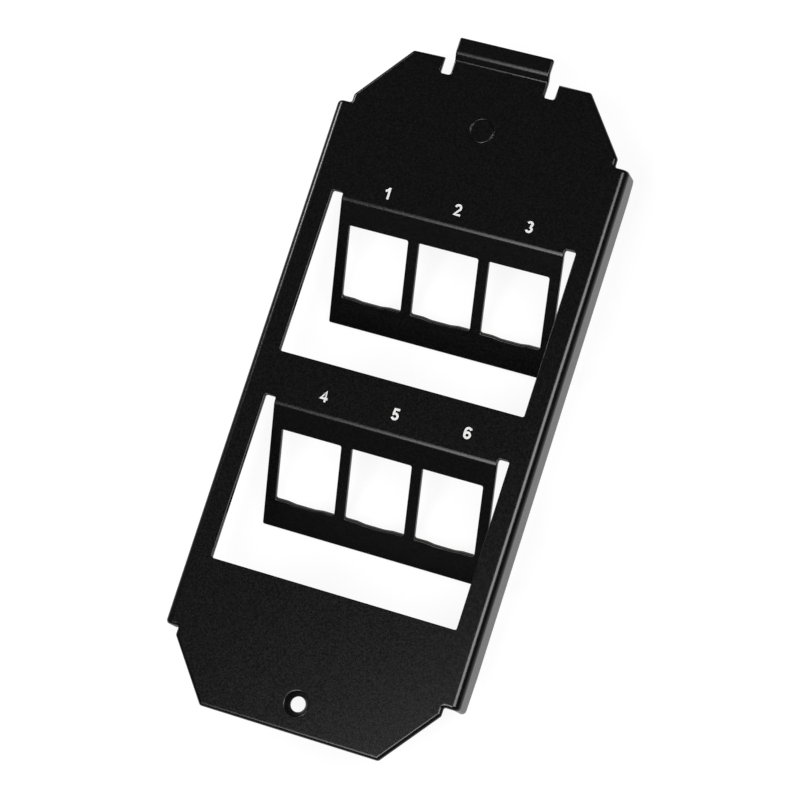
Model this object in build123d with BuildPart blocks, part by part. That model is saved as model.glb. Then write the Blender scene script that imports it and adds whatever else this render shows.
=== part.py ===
"""Floor box insert: one folded steel plate that carries six data jacks below a floor.

The plate hooks into the box by the cranked tab at its far end and is held by one countersunk
screw at its near end. Two flaps are cut free on three sides and folded down, and each carries
a row of jack windows, so that the plugs lie at a slope under the floor box lid. A flush earth
stud is pressed into the plate beside the tab.

Frame: +X across the plate, +Y towards the hook tab, +Z out of the face that shows. The origin
is the centre of the underside, the face that seats on the box's rim. All sizes are in mm.
"""

import os
from math import cos, floor, isclose, radians, sin, tan

from build123d import *

# Sheet
sheet = 1.2
inside_bend = 0.8
outside_bend = inside_bend + sheet
seam = 1.0  # length by which a folded strip runs into the flat plate that it grows from

# Flat plate
overall_width = 75.0  # over the two side flanges
plate_length = 165.7  # from end edge to end edge, without the hook tab
corner_width = 11.1  # each corner is cut off by this much across
corner_height = 14.1  # and by this much along
corner_radius = 1.0
step_length = 2.1  # from a cut corner to the end of the side flange
step_depth = 1.65  # from the side flange's fold line in to the narrower end
step_radius = 0.5

# Side flanges
flange_depth = 8.4  # from the face to the free edge
flange_corner = 1.5

# Windows in the plate, each with a flap on its upper edge
rail_width = 6.3  # from the side flange's outer face to a window
window_height = 39.7  # from a flap's fold down to the window's lower edge
window_corner = 0.5
first_row = 39.85  # from the tab's end edge to the first flap's fold
bar_height = 11.05  # plate left between one window and the relief slots of the next
row_count = 2
relief_width = 2.7  # slot on each side of a flap
relief_past_bend = 0.7  # by which the slots run on past the bend

# Flaps and their jack windows
flap_angle = 36.7  # below the plate, in degrees
flap_foot = 7.65  # flap left below the jack windows
flap_corner = 0.5
jack_width = 15.4
jack_height = 19.0
jack_pitch = 18.1
jack_drop = 6.7  # from the fold to a jack window, along the flap
jack_corner = 0.5
jack_side_web = 1.0  # least flap that is left beside a row
catch_width = 5.0  # shallow recess in the lower edge, for the jack's fixed lip
catch_ramp = 2.1  # length of the slope at each of its ends
catch_depth = 0.3

# Hook tab
tab_width = 24.0
tab_reach = 5.3  # past the plate's end edge
tab_rise = 1.4  # from the plate's face up to the tab's face
tab_ramp = 40.0  # slope of the crank, in degrees
tab_setback = 0.3  # from the end edge back to the crank's lower fold
tab_corner = 0.5
slot_width = 2.65  # relief slot on each side of the tab
slot_depth = 4.0
slot_corner = 0.6
slot_mouth = 0.5  # rounding of the plate's corners at the slots

# Screw hole, pressed as a countersink
screw_hole = 3.7
screw_inset = 7.05  # from the end edge
seat_depth = 1.25  # of the countersink
seat_angle = 90  # between its sides, as on the screw's head
dimple_drop = 0.55  # by which the pressed rim stands below the underside
dimple_rim = 0.6  # width of that rim

# Earth stud, its flush head pressed into the face
stud_inset = 15.7  # from the tab's end edge
stud_head = 5.9
stud_thread = 4.0
stud_length = 10.0  # below the underside
stud_neck = 4.8  # plain neck that fills the hole under the head
stud_web = 0.25  # sheet left under the head
stud_point = 0.6  # chamfer at the stud's end
ring_chamfer = 0.2  # on the head and on its seat, which leaves a fine ring in the face

# Places that follow from the sizes above
half_width = overall_width / 2
half_length = plate_length / 2
fold_line = half_width - outside_bend
narrow_half = fold_line - step_depth
flange_half = half_length - corner_height - step_length
window_width = overall_width - 2 * rail_width
flap_width = window_width - 2 * relief_width
flap_length = jack_drop + jack_height + flap_foot
flap_slope = radians(flap_angle)
flap_setback = outside_bend * tan(flap_slope / 2)
relief_top = flap_setback + relief_past_bend
row_pitch = window_height + relief_top + bar_height
fold_rows = [half_length - first_row - row * row_pitch for row in range(row_count)]
jacks_per_row = 1 + floor((flap_width - 2 * jack_side_web - jack_width) / jack_pitch)
ramp_slope = radians(tab_ramp)
ramp_foot = half_length - tab_setback
ramp_head = ramp_foot + tab_rise / tan(ramp_slope)
tab_start = ramp_foot - inside_bend * tan(ramp_slope / 2)
slot_centre = (tab_width + slot_width) / 2
stud_place = (0, half_length - stud_inset)
screw_place = (0, screw_inset - half_length)


def outline():
    """The plate's flat outline, without windows, with the side flanges still to be added."""
    with BuildSketch() as flat:
        with BuildLine():
            Polyline(
                (0, half_length),
                (narrow_half - corner_width, half_length),
                (narrow_half, half_length - corner_height),
                (narrow_half, flange_half),
                (fold_line, flange_half),
                (fold_line, 0),
            )
            mirror(about=Plane.XZ)
            mirror(about=Plane.YZ)
        make_face()
        ends = flat.vertices().filter_by(lambda corner: abs(corner.Y) > flange_half + step_length / 2)
        fillet(ends, corner_radius)
        steps = flat.vertices().filter_by(
            lambda corner: isclose(abs(corner.Y), flange_half) and isclose(abs(corner.X), narrow_half)
        )
        fillet(steps, step_radius)
    return flat.sketch


def window():
    """One window as it is cut in the flat, its flap's fold at the sketch's origin."""
    with BuildSketch() as opening:
        with Locations((0, flap_setback)):
            RectangleRounded(
                window_width,
                window_height + flap_setback,
                window_corner,
                align=(Align.CENTER, Align.MAX),
            )
        side = (flap_width + relief_width) / 2
        with Locations((-side, relief_top), (side, relief_top)):
            RectangleRounded(
                relief_width,
                relief_past_bend + relief_width,
                window_corner,
                align=(Align.CENTER, Align.MAX),
            )
    return opening.sketch


def tab_cut():
    """What is cut from the plate's end round the hook tab, down to where its crank begins."""
    with BuildSketch() as cut:
        with Locations((0, tab_start)):
            Rectangle(tab_width + slot_width, tab_reach, align=(Align.CENTER, Align.MIN))
        with Locations((-slot_centre, half_length - slot_depth), (slot_centre, half_length - slot_depth)):
            RectangleRounded(
                slot_width,
                slot_depth + tab_reach,
                slot_corner,
                align=(Align.CENTER, Align.MIN),
            )
    return cut.sketch


def jack_window():
    """One jack window, centred, with the shallow recess in its lower edge."""
    with BuildSketch() as hole:
        RectangleRounded(jack_width, jack_height, jack_corner)
        with BuildLine():
            Polyline(
                (-catch_width / 2 - catch_ramp, -jack_height / 2),
                (-catch_width / 2, -jack_height / 2 - catch_depth),
                (catch_width / 2, -jack_height / 2 - catch_depth),
                (catch_width / 2 + catch_ramp, -jack_height / 2),
                (0, jack_height / 2 - jack_corner),
                close=True,
            )
        make_face()
    return hole.sketch


def folded(plane, face_line):
    """Section of a folded strip: its face follows the points, and the sheet lies to their right."""
    line = [Vector(*point) for point in face_line]
    runs = [(end - start).normalized() for start, end in zip(line, line[1:])]
    rights = [Vector(run.Y, -run.X) for run in runs]
    rights = [rights[0], *rights, rights[-1]]
    middle = [
        corner + (before + after) * (sheet / 2 / (1 + before.dot(after)))
        for corner, before, after in zip(line, rights, rights[1:])
    ]
    with BuildSketch(plane) as strip:
        with BuildLine():
            FilletPolyline(*middle, radius=inside_bend + sheet / 2)
        trace(line_width=sheet)
    return strip.sketch


with BuildPart() as plate:
    # Flat part
    with BuildSketch() as flat_part:
        add(outline())
        with Locations(*[(0, fold) for fold in fold_rows]):
            add(window(), mode=Mode.SUBTRACT)
        add(tab_cut(), mode=Mode.SUBTRACT)
        mouths = flat_part.vertices().filter_by(
            lambda corner: isclose(corner.Y, half_length) and isclose(abs(corner.X), slot_centre + slot_width / 2)
        )
        fillet(mouths, slot_mouth)
    extrude(amount=sheet)

    # Side flanges, folded down along both long edges
    side_section = folded(
        Plane.XZ,
        [(fold_line - seam, sheet), (half_width, sheet), (half_width, sheet - flange_depth)],
    )
    extrude(side_section, amount=flange_half, both=True)
    extrude(mirror(side_section, about=Plane.YZ, mode=Mode.PRIVATE), amount=flange_half, both=True)
    free_corners = plate.edges().filter_by(Axis.X).group_by(Axis.Z)[0]
    fillet(free_corners, flange_corner)

    # Flaps, folded down from the upper edge of each window
    for fold in fold_rows:
        flap_section = folded(
            Plane.YZ,
            [
                (fold - flap_length * cos(flap_slope), sheet - flap_length * sin(flap_slope)),
                (fold, sheet),
                (fold + flap_setback + seam, sheet),
            ],
        )
        extrude(flap_section, amount=flap_width / 2, both=True)

        # Its face, with the fold at the origin and the flap running down along -Y
        flap_face = Plane(
            origin=(0, fold, sheet),
            x_dir=(1, 0, 0),
            z_dir=(0, -sin(flap_slope), cos(flap_slope)),
        )
        across = Axis(flap_face.origin, flap_face.z_dir)
        foot_corners = plate.edges(Select.LAST).filter_by(across).group_by(Axis.Z)[0]
        fillet(foot_corners, flap_corner)
        with BuildSketch(flap_face):
            with Locations((0, -jack_drop - jack_height / 2)):
                with GridLocations(jack_pitch, 0, jacks_per_row, 1):
                    add(jack_window())
        extrude(amount=sheet, both=True, mode=Mode.SUBTRACT)

    # Hook tab, cranked up from the plate's end edge
    tab_section = folded(
        Plane.YZ,
        [
            (tab_start - seam, sheet),
            (ramp_foot, sheet),
            (ramp_head, sheet + tab_rise),
            (half_length + tab_reach, sheet + tab_rise),
        ],
    )
    extrude(tab_section, amount=tab_width / 2, both=True)
    tab_corners = plate.edges().filter_by(Axis.Z).group_by(Axis.Y)[-1]
    fillet(tab_corners, tab_corner)

    # Screw hole: the sheet is pressed down round it, and the screw's head sinks into the face
    with Locations(Location((*screw_place, -dimple_drop))):
        Cone(
            screw_hole / 2 + dimple_rim,
            screw_hole / 2 + dimple_rim + dimple_drop,
            dimple_drop,
            align=(Align.CENTER, Align.CENTER, Align.MIN),
        )
    with Locations(Location((*screw_place, sheet))):
        seat_radius = screw_hole / 2 + seat_depth * tan(radians(seat_angle / 2))
        CounterSinkHole(screw_hole / 2, seat_radius, counter_sink_angle=seat_angle)

    # Seat of the earth stud's head
    with Locations(Location((*stud_place, sheet))):
        CounterBoreHole(stud_neck / 2, stud_head / 2, sheet - stud_web)
    seat_edge = plate.edges().filter_by(GeomType.CIRCLE).filter_by(
        lambda edge: isclose(edge.radius, stud_head / 2) and isclose(edge.arc_center.Z, sheet)
    )
    chamfer(seat_edge, ring_chamfer)

with BuildPart() as earth_stud:
    # Flush head, face to face with its seat in the plate
    with Locations(Location((*stud_place, stud_web))):
        Cylinder(stud_head / 2, sheet - stud_web, align=(Align.CENTER, Align.CENTER, Align.MIN))
    chamfer(earth_stud.edges().group_by(Axis.Z)[-1], ring_chamfer)

    # Neck in the hole under the head, and the threaded end below the plate
    with Locations(Location((*stud_place, 0))):
        Cylinder(stud_neck / 2, stud_web, align=(Align.CENTER, Align.CENTER, Align.MIN))
        Cylinder(stud_thread / 2, stud_length, align=(Align.CENTER, Align.CENTER, Align.MAX))
    chamfer(earth_stud.edges().group_by(Axis.Z)[0], stud_point)

os.makedirs("parts", exist_ok=True)
plate.part.label = "plate"
export_step(plate.part, "parts/plate.step")
earth_stud.part.label = "earth_stud"
export_step(earth_stud.part, "parts/earth_stud.step")
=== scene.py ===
"""Scene of the floor box insert: folded steel sheet in black powder coat, on a white table.

Lengths are in millimetres and turned into metres by mm. The frame is the part's own: +X across
the plate, +Y towards the hook tab, +Z out of the face that shows, with the origin in the middle
of the underside.
"""

from math import cos, pi, radians, sin

import bmesh
import bpy
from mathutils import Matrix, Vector


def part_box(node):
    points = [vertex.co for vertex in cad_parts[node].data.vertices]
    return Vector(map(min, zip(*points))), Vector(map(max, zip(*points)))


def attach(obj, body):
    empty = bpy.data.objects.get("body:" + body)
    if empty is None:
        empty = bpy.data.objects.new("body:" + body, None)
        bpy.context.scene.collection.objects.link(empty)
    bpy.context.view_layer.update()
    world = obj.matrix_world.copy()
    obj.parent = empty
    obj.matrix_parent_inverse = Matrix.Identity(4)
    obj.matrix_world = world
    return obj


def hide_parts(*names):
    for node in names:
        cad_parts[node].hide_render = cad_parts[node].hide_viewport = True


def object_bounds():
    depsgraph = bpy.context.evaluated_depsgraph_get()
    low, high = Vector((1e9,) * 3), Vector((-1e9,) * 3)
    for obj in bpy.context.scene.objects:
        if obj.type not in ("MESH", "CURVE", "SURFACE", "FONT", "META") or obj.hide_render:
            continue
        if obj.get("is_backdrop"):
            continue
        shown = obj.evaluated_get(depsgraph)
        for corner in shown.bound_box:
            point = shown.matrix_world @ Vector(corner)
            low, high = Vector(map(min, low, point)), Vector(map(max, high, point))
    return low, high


mm = 0.001

# Camera, as the photograph was taken
camera_place = (220.15, -104.91, 711.15)
camera_turn = (12.925, 13.853, 18.302)  # degrees about X, then Y, then Z
camera_lens = 143.27
camera_sensor = 36.0  # width
camera_range = (10.0, 20000.0)  # nearest and furthest that it sees

# Sheet
sheet = 1.2
tab_reach = 5.3  # of the hook tab past the plate's end edge

# Radii of the sheet's cut edges, as the punch and the coat leave them
rolled_edge = 0.95  # face side of the plate's outline, which the die rolls over
tab_edge = 0.4  # face side round the hook tab, less than its corners' radius
free_edge = 0.4  # outer side of the flanges' free edge
punched_edge = 0.28  # face side of the windows
seat_edge = 0.14  # rim of the pressed screw seat
hole_edge = 0.05  # the seat's other edges, its hole's among them
back_edge = 0.14  # every edge of the underside
edge_steps = 3

# Where each of those radii goes
outline_from = 60.0  # beyond this distance along Y, an edge belongs to the plate's outline
tab_region = (17.0, 70.0)  # half width and start along Y of the hook tab with its slots
flange_skin = 37.4  # faces beyond this distance across are a flange's outer side
flange_margin = 0.5  # a flange's free edge begins this far within that
screw_inset = 7.05  # from the plate's other end edge
screw_region = 4.5  # radius of what belongs to the screw hole
seat_dip = 0.2  # an edge there that lies this far below the face is inside the seat
stud_region = 4.0  # radius of what belongs to the earth stud's ring, which stays sharp

# Which edges are rounded
weld_within = 0.0005  # points within this distance are made one
flat_within = 0.5  # and so are faces within this angle, in degrees
sharp_edge = 35.0  # least angle between two faces of an edge that is rounded, in degrees
skin_rise = 0.3  # a face of the outer side looks up at least this much, as a share of 1
skin_lean = 0.05  # and towards the tab less than this
skin_share = 0.25  # an edge is on the outer side with more than this share of its faces there
through_rise = 0.7  # an edge through the sheet rises by more than this share of its length
through_slack = 0.1  # and is as long as the sheet is thick, within this

# Powder coat. A noise's scale is per metre, a bump has a strength and a distance
coat_ior = 1.5
coat_grain = {"Scale": 1900.0, "Detail": 3.0, "Roughness": 0.7}
coat_peel = {"Scale": 520.0, "Detail": 1.0, "Roughness": 0.4}
coat_tones = ((0.36, (0.0008, 0.0008, 0.0008)), (0.66, (0.0034, 0.0034, 0.0035)))
coat_span = (0.3, 0.7)  # of the grain, over which the coat goes
coat_gloss = (0.16, 0.26)  # from this roughness to that
peel_bump = (0.2, 0.02)
grain_bump = (0.15, 0.01)

# Zinc plating
zinc_colour = (0.52, 0.53, 0.55)
zinc_blotches = {"Scale": 900.0, "Detail": 3.0, "Roughness": 0.6}
zinc_gloss = (0.24, 0.42)

# Printed numbers
ink_cover = {"Scale": 4500.0, "Detail": 2.0, "Roughness": 0.6}
ink_tones = ((0.25, (0.64, 0.64, 0.64)), (0.55, (0.78, 0.78, 0.77)))
ink_roughness = 0.55
ink_thickness = 0.02
ink_step = 0.0006  # each point of a stroke lies this much higher, so that strokes cross cleanly
print_rows = 2
print_columns = 3
print_centre = (0.85, 21.5)
print_pitch = 18.2
print_row_pitch = 51.3
print_turn = 1.0  # the print sits a little askew on the plate, in degrees
digit_height = 2.95
digit_stroke = 0.56
arc_step = 12.0  # degrees
mitre_limit = -0.4  # cosine of the sharpest turn of a stroke that gets its full mitre

# Earth stud
stud_inset = 15.7  # from the plate's end edge at the tab
stud_head = 5.9
stud_head_depth = 0.95
stud_neck = 4.8
stud_thread = 4.0
stud_length = 10.0
ring_chamfer = 0.2
stud_point = 0.6
thread_pitch = 0.7
thread_depth = 0.43
thread_slope = 1.15  # of the flanks, where 1 goes from crest to root without a flat
thread_crest = 0.05  # what the crest's flat takes from the depth, as a share of it
thread_runout = 0.8  # plain length below the plate before the thread begins
thread_sharp = 32.0  # its edges beyond this angle, in degrees, look sharp
turn_steps = 48
pitch_steps = 14

# Table, whose glow reflections see with a painted shadow and painted light
table_radius = 4000.0
table_steps = 96
table_white = (0.80, 0.80, 0.80)
table_roughness = 0.9
table_glow = 0.88  # its own white, as the camera sees it
table_shade = 0.16  # what the lights add to that, which keeps the part's shadow
painted_shadow_reach = 45.0  # painted shadow: reflections see the table darker where the part covers it this near
painted_shadow_rays = 4
painted_shadow_span = (0.12, 0.5)  # shares of open sky at which the painted shadow is black, and gone
painted_light_centre = (10.0, -12.0, 0.0)  # painted light: reflections see the table brightest round this point
painted_light_core = (34.0, 83.0, 20.0)  # and as far as this from it along each axis
painted_light_reach = 80.0  # the fall-off ends this far outside the core
painted_light_near = 0.76  # painted light: share of the table's white that reflections see next to the part
painted_light_far = 0.10  # and beyond the fall-off

# Lights: direction they stand in, distance, width, height and radiance
softboxes = {
    "right_softbox": ((0.48, 0.10, 0.87), 1040, 430, 540, 7.0),
    "left_softbox": ((-0.80, 0.38, 0.47), 790, 300, 180, 13.5),
    "front_softbox": ((-0.066, -0.44, 0.896), 1260, 516, 840, 6.5),
    "overhead_card": ((-0.122, -0.12, 0.985), 975, 230, 150, 0.9),
}
studio_colour = (0.06, 0.06, 0.06)


def add(name, data):
    """Adds an object to the scene."""
    thing = bpy.data.objects.new(name, data)
    bpy.context.scene.collection.objects.link(thing)
    return thing


def piece(name, mesh, material):
    """Adds a mesh as a piece that rides on the plate."""
    thing = add(name, mesh)
    mesh.materials.append(material)
    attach(thing, "root")
    return thing


def mesh_from(made, name):
    """Turns a bmesh into a mesh."""
    mesh = bpy.data.meshes.new(name)
    made.to_mesh(mesh)
    made.free()
    return mesh


def smooth(thing):
    """Shades every face of an object smooth."""
    for face in thing.data.polygons:
        face.use_smooth = True


def smooth_by_area(thing):
    """Shades an object smooth, with normals that keep its large faces flat."""
    normals = thing.modifiers.new("normals", "WEIGHTED_NORMAL")
    normals.keep_sharp = False
    smooth(thing)


def set_up(tree, node, *values, **settings):
    """Sets a node's options by name, and its inputs in order or by name, to values or links."""
    for key in [key for key in settings if hasattr(node, key)]:
        setattr(node, key, settings.pop(key))
    named = [(node.inputs[key.replace("_", " ")], value) for key, value in settings.items()]
    for socket, value in [*zip(node.inputs, values), *named]:
        if isinstance(value, bpy.types.NodeSocket):
            tree.links.new(value, socket)
        else:
            socket.default_value = value
    return node


def add_node(tree, kind, *values, **settings):
    """Adds a node to a tree and sets it up."""
    return set_up(tree, tree.nodes.new(kind), *values, **settings)


def add_noise(tree, texture):
    """Noise in the object's own space, as a value from 0 to 1."""
    place = add_node(tree, "ShaderNodeTexCoord").outputs["Object"]
    return add_node(tree, "ShaderNodeTexNoise", Vector=place, **texture).outputs["Fac"]


def add_ramp(tree, value, tones):
    """Colour that goes from one (position, colour) to another with a value."""
    ramp = add_node(tree, "ShaderNodeValToRGB", value)
    for element, (position, colour) in zip(ramp.color_ramp.elements, tones):
        element.position = position
        element.color = (*colour, 1)
    return ramp.outputs["Color"]


def add_range(tree, value, span, results):
    """Value that goes from one result to another as a value goes over its span."""
    ends = {"From_Min": span[0], "From_Max": span[1], "To_Min": results[0], "To_Max": results[1]}
    return add_node(tree, "ShaderNodeMapRange", Value=value, **ends).outputs["Result"]


def add_bump(tree, height, bump, **below):
    """Normal over a height, for a bump of (strength, distance)."""
    strength, distance = bump
    sizes = {"Strength": strength, "Distance": distance * mm}
    return add_node(tree, "ShaderNodeBump", Height=height, **sizes, **below).outputs["Normal"]


def new_material(name):
    """A new material, with its node tree and its shader."""
    material = bpy.data.materials.new(name)
    material.use_nodes = True
    return material, material.node_tree, material.node_tree.nodes["Principled BSDF"]


def powder_coat():
    """Black satin powder coat: fine grain over a faint orange peel."""
    material, tree, shader = new_material("black_powder_coat")
    grain = add_noise(tree, coat_grain)
    peel = add_bump(tree, add_noise(tree, coat_peel), peel_bump)
    set_up(
        tree,
        shader,
        IOR=coat_ior,
        Base_Color=add_ramp(tree, grain, coat_tones),
        Roughness=add_range(tree, grain, coat_span, coat_gloss),
        Normal=add_bump(tree, grain, grain_bump, Normal=peel),
    )
    return material


def zinc():
    """Bright zinc on the stud's thread, a little blotched."""
    material, tree, shader = new_material("zinc_plate")
    blotches = add_noise(tree, zinc_blotches)
    gloss = add_range(tree, blotches, (0, 1), zinc_gloss)
    set_up(tree, shader, Base_Color=(*zinc_colour, 1), Metallic=1.0, Roughness=gloss)
    return material


def white_ink():
    """Screen-printed white ink, slightly uneven."""
    material, tree, shader = new_material("white_ink")
    tone = add_ramp(tree, add_noise(tree, ink_cover), ink_tones)
    set_up(tree, shader, Base_Color=tone, Roughness=ink_roughness)
    return material


def end_edge():
    """Y of the plate's end edge, which the hook tab reaches past."""
    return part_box("plate")[1].y / mm - tab_reach


def rounding_weights():
    """Node group that stores how far each sharp edge is rounded, as a share of rolled_edge."""
    group = bpy.data.node_groups.new("rounding_weights", "GeometryNodeTree")
    for side in ("INPUT", "OUTPUT"):
        group.interface.new_socket("Geometry", in_out=side, socket_type="NodeSocketGeometry")

    def math(operation, *values):
        return add_node(group, "ShaderNodeMath", *values, operation=operation).outputs["Value"]

    def vector(operation, *values):
        return add_node(group, "ShaderNodeVectorMath", *values, operation=operation).outputs

    def field(kind, output):
        return add_node(group, kind).outputs[output]

    def parts(value):
        return add_node(group, "ShaderNodeSeparateXYZ", value).outputs

    def without(test):
        return math("SUBTRACT", 1.0, test)

    def choose(test, chosen, other):
        return math("ADD", math("MULTIPLY", test, chosen), math("MULTIPLY", without(test), other))

    def near(centre_y, radius):
        along = math("SUBTRACT", place["Y"], centre_y * mm)
        across = math("MULTIPLY", place["X"], place["X"])
        distance = math("SQRT", math("ADD", across, math("MULTIPLY", along, along)))
        return math("LESS_THAN", distance, radius * mm)

    # Edges through the sheet, at the tessellated corners, stay as they are
    ends = add_node(group, "GeometryNodeInputMeshEdgeVertices").outputs
    run = vector("SUBTRACT", ends["Position 1"], ends["Position 2"])["Vector"]
    length = vector("LENGTH", run)["Value"]
    rise = math("ABSOLUTE", parts(run)["Z"])
    steep = math("GREATER_THAN", rise, math("MULTIPLY", length, through_rise))
    as_thick = math("COMPARE", length, sheet * mm, through_slack * mm)
    across_sheet = math("MULTIPLY", steep, as_thick)

    place = parts(field("GeometryNodeInputPosition", "Position"))
    normal = parts(field("GeometryNodeInputNormal", "True Normal"))
    angle = field("GeometryNodeInputMeshEdgeAngle", "Unsigned Angle")
    across = math("ABSOLUTE", place["X"])
    plate_end = end_edge()
    near_screw = near(screw_inset - plate_end, screw_region)
    near_stud = near(plate_end - stud_inset, stud_region)
    in_seat = math(
        "MULTIPLY", near_screw, math("LESS_THAN", place["Z"], (sheet - seat_dip) * mm)
    )

    # Faces of the sheet's outer side: they look up, and never towards the tab, or lie on a flange
    looks_up = math(
        "MULTIPLY",
        math("GREATER_THAN", normal["Z"], skin_rise),
        math("LESS_THAN", normal["Y"], skin_lean),
    )
    on_flange = math("GREATER_THAN", across, flange_skin * mm)
    skin = add_node(
        group,
        "GeometryNodeFieldOnDomain",
        math("MAXIMUM", looks_up, on_flange),
        domain="FACE",
        data_type="FLOAT",
    ).outputs[0]
    outer = math("MULTIPLY", math("GREATER_THAN", skin, skin_share), without(in_seat))

    on_free_edge = math("GREATER_THAN", across, (flange_skin - flange_margin) * mm)
    in_outline = math("GREATER_THAN", math("ABSOLUTE", place["Y"]), outline_from * mm)
    near_tab = math(
        "MULTIPLY",
        math("LESS_THAN", across, tab_region[0] * mm),
        math("GREATER_THAN", place["Y"], tab_region[1] * mm),
    )

    weight = choose(on_free_edge, free_edge / rolled_edge, punched_edge / rolled_edge)
    weight = choose(in_outline, 1.0, weight)
    weight = choose(near_tab, tab_edge / rolled_edge, weight)
    weight = choose(near_screw, seat_edge / rolled_edge, weight)
    weight = choose(outer, weight, back_edge / rolled_edge)
    weight = choose(in_seat, hole_edge / rolled_edge, weight)
    weight = math("MULTIPLY", weight, without(near_stud))
    weight = math("MULTIPLY", weight, math("GREATER_THAN", angle, radians(sharp_edge)))
    weight = math("MULTIPLY", weight, without(across_sheet))

    store = add_node(
        group,
        "GeometryNodeStoreNamedAttribute",
        data_type="FLOAT",
        domain="EDGE",
        Geometry=field("NodeGroupInput", 0),
        Name="bevel_weight_edge",
        Value=weight,
    )
    add_node(group, "NodeGroupOutput", store.outputs["Geometry"])
    return group


def round_edges(node):
    """Rounds the cut edges of a sheet metal node, and leaves its bends as they are."""
    weld = node.modifiers.new("weld", "WELD")
    weld.merge_threshold = weld_within * mm
    plain = node.modifiers.new("plain_faces", "DECIMATE")
    plain.decimate_type = "DISSOLVE"
    plain.angle_limit = radians(flat_within)
    weights = node.modifiers.new("weights", "NODES")
    weights.node_group = rounding_weights()
    rounding = node.modifiers.new("edge_rounding", "BEVEL")
    rounding.width = rolled_edge * mm
    rounding.segments = edge_steps
    rounding.limit_method = "WEIGHT"
    rounding.use_clamp_overlap = False
    rounding.loop_slide = False
    rounding.harden_normals = False
    rounding.miter_outer = "MITER_ARC"
    smooth_by_area(node)


def turned(name, rings, centre_y):
    """A closed mesh round an upright axis, from rings of (radius, height) points.

    A ring has turn_steps points, or one that lies on the axis.
    """
    made = bmesh.new()
    grid = []
    for ring in rings:
        row = []
        for step, (radius, height) in enumerate(ring):
            angle = 2 * pi * step / turn_steps
            across, along = radius * cos(angle), radius * sin(angle)
            row.append(made.verts.new((across * mm, along * mm, height * mm)))
        grid.append(row)
    for ring, following in zip(grid, grid[1:]):
        for step in range(turn_steps):
            after = (step + 1) % turn_steps
            corners = [ring[step % len(ring)], ring[after % len(ring)]]
            corners += [following[after % len(following)], following[step % len(following)]]
            made.faces.new(list(dict.fromkeys(corners)))
    for end in (grid[0], grid[-1]):
        if len(end) > 1:
            made.faces.new(end)
    bmesh.ops.recalc_face_normals(made, faces=made.faces)
    mesh = mesh_from(made, name)
    for corner in mesh.vertices:
        corner.co += Vector((0, centre_y * mm, 0))
    return mesh


def thread_radius(angle, height):
    """Radius of the screw thread's surface at an angle and at a height below the plate."""
    turns = -height / thread_pitch - angle / (2 * pi)
    from_root = abs(turns % 1 - 0.5) * 2
    depth = thread_depth * min(max(thread_slope * (1 - from_root) - thread_crest, 0), 1)
    fade = min(max((-height - thread_runout) / thread_pitch, 0), 1)
    point = stud_thread / 2 - stud_point + (height + stud_length)
    return min(stud_thread / 2 - depth * fade, point)


def earth_stud(coat, plating):
    """The clinched stud: its coated head flush with the face, its plated thread below."""
    centre_y = end_edge() - stud_inset
    web = sheet - stud_head_depth
    profile = [
        (stud_head / 2, web),
        (stud_head / 2, sheet - ring_chamfer),
        (stud_head / 2 - ring_chamfer / 3, sheet - ring_chamfer / 3),
        (stud_head / 2 - ring_chamfer, sheet),
        (stud_head / 2 - 2 * ring_chamfer, sheet),
    ]
    rings = [[(0, web)], *([point] * turn_steps for point in profile), [(0, sheet)]]
    head = turned("earth_stud_head", rings, centre_y)

    step_count = int(stud_length / thread_pitch * pitch_steps)
    heights = [-step * thread_pitch / pitch_steps for step in range(step_count)]
    angles = [2 * pi * step / turn_steps for step in range(turn_steps)]
    rings = [[(stud_neck / 2, height)] * turn_steps for height in (web, 0)]
    for height in [*heights, -stud_length]:
        rings.append([(thread_radius(angle, height), height) for angle in angles])
    shank = turned("earth_stud_thread", rings, centre_y)

    head_piece = piece("earth_stud_head", head, coat)
    thread_piece = piece("earth_stud_thread", shank, plating)
    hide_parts("earth_stud")
    smooth_by_area(head_piece)
    crests = thread_piece.modifiers.new("sharp_edges", "EDGE_SPLIT")
    crests.split_angle = radians(thread_sharp)
    smooth(thread_piece)


def arc(centre, radii, start, end):
    """Points of an ellipse's arc, from one angle to another in degrees."""
    steps = max(2, round(abs(end - start) / arc_step))
    angles = [radians(start + (end - start) * step / steps) for step in range(steps + 1)]
    return [
        (centre[0] + radii[0] * cos(angle), centre[1] + radii[1] * sin(angle)) for angle in angles
    ]


def digit_strokes(digit):
    """Centre lines of a digit's strokes, for a digit one unit high with its base at the origin."""
    thick = digit_stroke / digit_height / 2
    top = 1 - thick
    if digit == 1:
        return [[(-0.17, 0.66), (0.01, 0.75), (0.15, 0.93)], [(0.16, 1.0), (0.16, 0.0)]]
    if digit == 2:
        bowl = arc((-0.01, 0.68), (0.22, 0.32 - thick), 170, -30)
        return [[*bowl, (-0.22, thick), (0.31, thick)]]
    if digit == 3:
        upper = arc((-0.02, 0.74), (0.19, 0.26 - thick), 160, -80)
        lower = arc((-0.02, 0.29), (0.225, 0.29 - thick), 85, -162)
        return [upper, lower]
    if digit == 4:
        return [[(0.33, 0.29), (-0.25, 0.29), (0.13, 0.90), (0.13, 0.0)]]
    if digit == 5:
        bowl = arc((-0.02, 0.325), (0.23, 0.325 - thick), 128, -160)
        return [[(0.27, top), (-0.13, top), (-0.17, 0.53), *bowl]]
    sweep = arc((0.02, 0.64), (0.25, 0.36 - thick), 28, 180)
    bowl = arc((0.0, 0.32), (0.23, 0.32 - thick), 180, 540)
    return [[*sweep, *bowl]]


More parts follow.
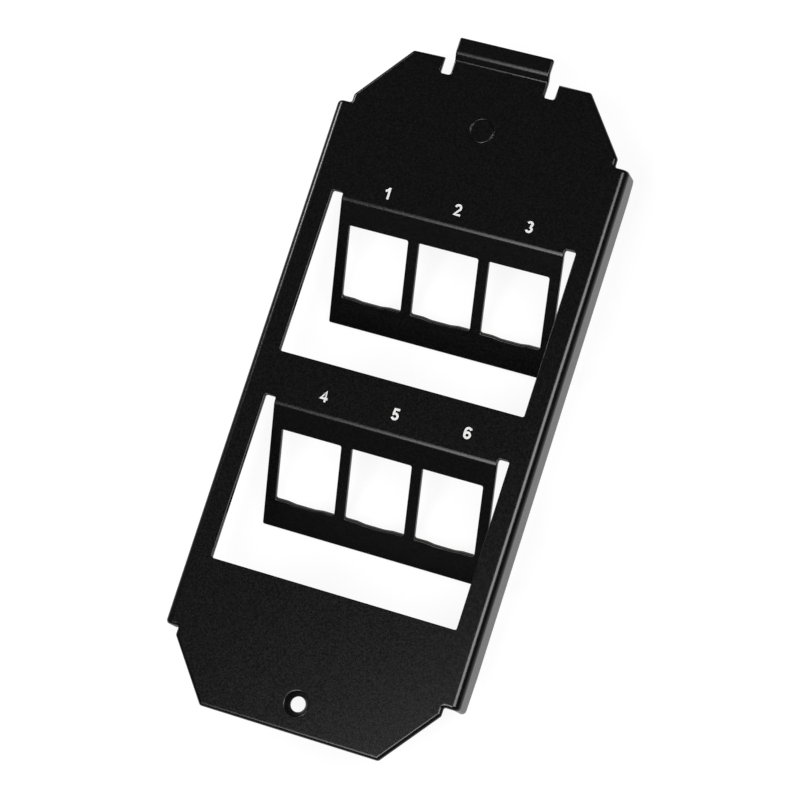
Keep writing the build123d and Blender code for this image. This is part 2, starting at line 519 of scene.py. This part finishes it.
def ribbon(made, line, width, place, lift):
    """Adds a flat ribbon along a line of points, with mitred corners, and returns its lift."""
    points = [Vector(point) for point in line]
    runs = [(after - before).normalized() for before, after in zip(points, points[1:])]
    rights = [Vector((run.y, -run.x)) for run in runs]
    rights = [rights[0], *rights, rights[-1]]
    sides = []
    for point, before, after in zip(points, rights, rights[1:]):
        reach = (before + after) * (width / 2 / (1 + max(before.dot(after), mitre_limit)))
        sides.append((point - reach, point + reach))
    under = [[made.verts.new(place(corner, 0)) for corner in side] for side in sides]
    over = []
    for side in sides:
        lift += ink_step
        over.append([made.verts.new(place(corner, ink_thickness + lift)) for corner in side])
    for low, next_low, high, next_high in zip(under, under[1:], over, over[1:]):
        made.faces.new((high[0], high[1], next_high[1], next_high[0]))
        made.faces.new((low[0], next_low[0], next_low[1], low[1]))
        for side in (0, 1):
            made.faces.new((low[side], high[side], next_high[side], next_low[side]))
    for end in (0, -1):
        made.faces.new((under[end][0], under[end][1], over[end][1], over[end][0]))
    return lift


def printed_number(digit, centre, ink):
    """One number, printed round a centre that is given from the middle of the print."""
    turn = radians(print_turn)

    def place(corner, height):
        x = centre[0] + corner[0] * digit_height
        y = centre[1] + (corner[1] - 0.5) * digit_height
        return (
            (print_centre[0] + x * cos(turn) - y * sin(turn)) * mm,
            (print_centre[1] + x * sin(turn) + y * cos(turn)) * mm,
            (sheet + height) * mm,
        )

    made = bmesh.new()
    lift = 0
    for line in digit_strokes(digit):
        lift = ribbon(made, line, digit_stroke / digit_height, place, lift)
    bmesh.ops.recalc_face_normals(made, faces=made.faces)
    piece(f"number_{digit}", mesh_from(made, f"number_{digit}"), ink)


def printed_numbers(ink):
    """The numbers on the plate's face, one above each jack window."""
    for row in range(print_rows):
        for column in range(print_columns):
            across = (column - (print_columns - 1) / 2) * print_pitch
            along = ((print_rows - 1) / 2 - row) * print_row_pitch
            printed_number(print_columns * row + column + 1, (across, along), ink)


def painted_table_reflection(tree):
    """Painted shadow and painted light on the table as reflections see it, as a share of its
    white.
    """
    # Painted shadow: it is dark where the part covers it
    painted_shadow_occlusion = add_node(
        tree, "ShaderNodeAmbientOcclusion", samples=painted_shadow_rays, Distance=painted_shadow_reach * mm
    )
    painted_shadow_mask = add_range(tree, painted_shadow_occlusion.outputs["AO"], painted_shadow_span, (0, 1))

    # And painted light only round the part, as the dark roll of its bends shows
    def vector(operation, *values):
        return add_node(tree, "ShaderNodeVectorMath", *values, operation=operation).outputs

    place = add_node(tree, "ShaderNodeNewGeometry").outputs["Position"]
    centre = [part * mm for part in painted_light_centre]
    core = [half * mm for half in painted_light_core]
    centred = vector("SUBTRACT", place, centre)["Vector"]
    outside = vector("SUBTRACT", vector("ABSOLUTE", centred)["Vector"], core)["Vector"]
    away = vector("LENGTH", vector("MAXIMUM", outside)["Vector"])["Value"]
    painted_light_falloff = add_range(tree, away, (0, painted_light_reach * mm), (painted_light_near, painted_light_far))
    return add_node(tree, "ShaderNodeMath", painted_shadow_mask, painted_light_falloff, operation="MULTIPLY").outputs[0]


def white_table_painted_reflections():
    """Table that shows white to the camera and through glass, and white in reflections with a
    painted shadow under the part and painted light round it.
    """
    material, tree, shader = new_material("white_table_painted_reflections")
    set_up(
        tree,
        shader,
        Base_Color=(*table_white, 1),
        Roughness=table_roughness,
        Specular_IOR_Level=0.0,
    )

    def math(*values, **options):
        return add_node(tree, "ShaderNodeMath", *values, **options).outputs["Value"]

    ray = add_node(tree, "ShaderNodeLightPath").outputs
    seen = math(ray["Is Camera Ray"], ray["Is Glossy Ray"], operation="ADD")
    seen = math(seen, ray["Is Transmission Ray"], operation="ADD", use_clamp=True)
    # Reflections see the glow with painted shadow and painted light; the camera sees it evenly
    # white
    share = add_node(
        tree, "ShaderNodeMix", Factor=ray["Is Glossy Ray"], A=1.0, B=painted_table_reflection(tree)
    )
    strength = math(share.outputs["Result"], table_glow, operation="MULTIPLY")
    glow = add_node(tree, "ShaderNodeEmission", Strength=strength)
    shade = (table_shade, table_shade, table_shade, 1)
    shaded = add_node(tree, "ShaderNodeBsdfDiffuse", Color=shade)
    backdrop = add_node(tree, "ShaderNodeAddShader", glow.outputs[0], shaded.outputs[0])
    choice = add_node(
        tree, "ShaderNodeMixShader", seen, shader.outputs["BSDF"], backdrop.outputs[0]
    )
    set_up(tree, tree.nodes["Material Output"], Surface=choice.outputs[0])
    return material


def table():
    """A round white table under the part, which keeps the part's soft shadow."""
    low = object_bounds()[0].z
    made = bmesh.new()
    bmesh.ops.create_circle(
        made, cap_ends=True, segments=table_steps, radius=table_radius * mm
    )
    bmesh.ops.translate(made, verts=made.verts, vec=(0, 0, low))
    thing = add("table", mesh_from(made, "table"))
    thing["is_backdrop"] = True
    thing.data.materials.append(white_table_painted_reflections())


def softbox(name, towards, distance, width, height, radiance):
    """A rectangular light that looks at the origin from a direction, unseen by the camera."""
    lamp = bpy.data.lights.new(name, "AREA")
    lamp.shape = "RECTANGLE"
    lamp.size = width * mm
    lamp.size_y = height * mm
    lamp.energy = pi * lamp.size * lamp.size_y * radiance
    direction = Vector(towards).normalized()
    thing = add(name, lamp)
    thing.location = direction * distance * mm
    thing.rotation_mode = "QUATERNION"
    thing.rotation_quaternion = direction.to_track_quat("Z", "Y")
    thing.visible_camera = False


def lights():
    """Softboxes to the right, upper left and front, and a dim card above, in a dark studio."""
    for name, settings in softboxes.items():
        softbox(name, *settings)
    world = bpy.data.worlds.new("studio")
    bpy.context.scene.world = world
    world.use_nodes = True
    set_up(world.node_tree, world.node_tree.nodes["Background"], Color=(*studio_colour, 1))


def camera():
    """The camera at the photograph's place."""
    lens = bpy.data.cameras.new("camera")
    lens.lens = camera_lens
    lens.sensor_width = camera_sensor
    lens.clip_start, lens.clip_end = (end * mm for end in camera_range)
    thing = add("camera", lens)
    thing.location = Vector(camera_place) * mm
    thing.rotation_euler = [radians(angle) for angle in camera_turn]
    bpy.context.scene.camera = thing


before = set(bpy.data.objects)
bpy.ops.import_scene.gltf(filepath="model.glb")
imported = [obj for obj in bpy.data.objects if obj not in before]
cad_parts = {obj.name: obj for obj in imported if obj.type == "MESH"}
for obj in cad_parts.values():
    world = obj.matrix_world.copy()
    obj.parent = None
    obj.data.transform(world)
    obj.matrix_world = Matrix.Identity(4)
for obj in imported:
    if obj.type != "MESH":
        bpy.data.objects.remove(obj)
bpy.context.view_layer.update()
bpy.context.scene.view_settings.view_transform = "Standard"

coat = powder_coat()
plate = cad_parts["plate"]
plate.data.materials.clear()
plate.data.materials.append(coat)
round_edges(plate)
earth_stud(coat, zinc())
printed_numbers(white_ink())
table()
lights()
camera()
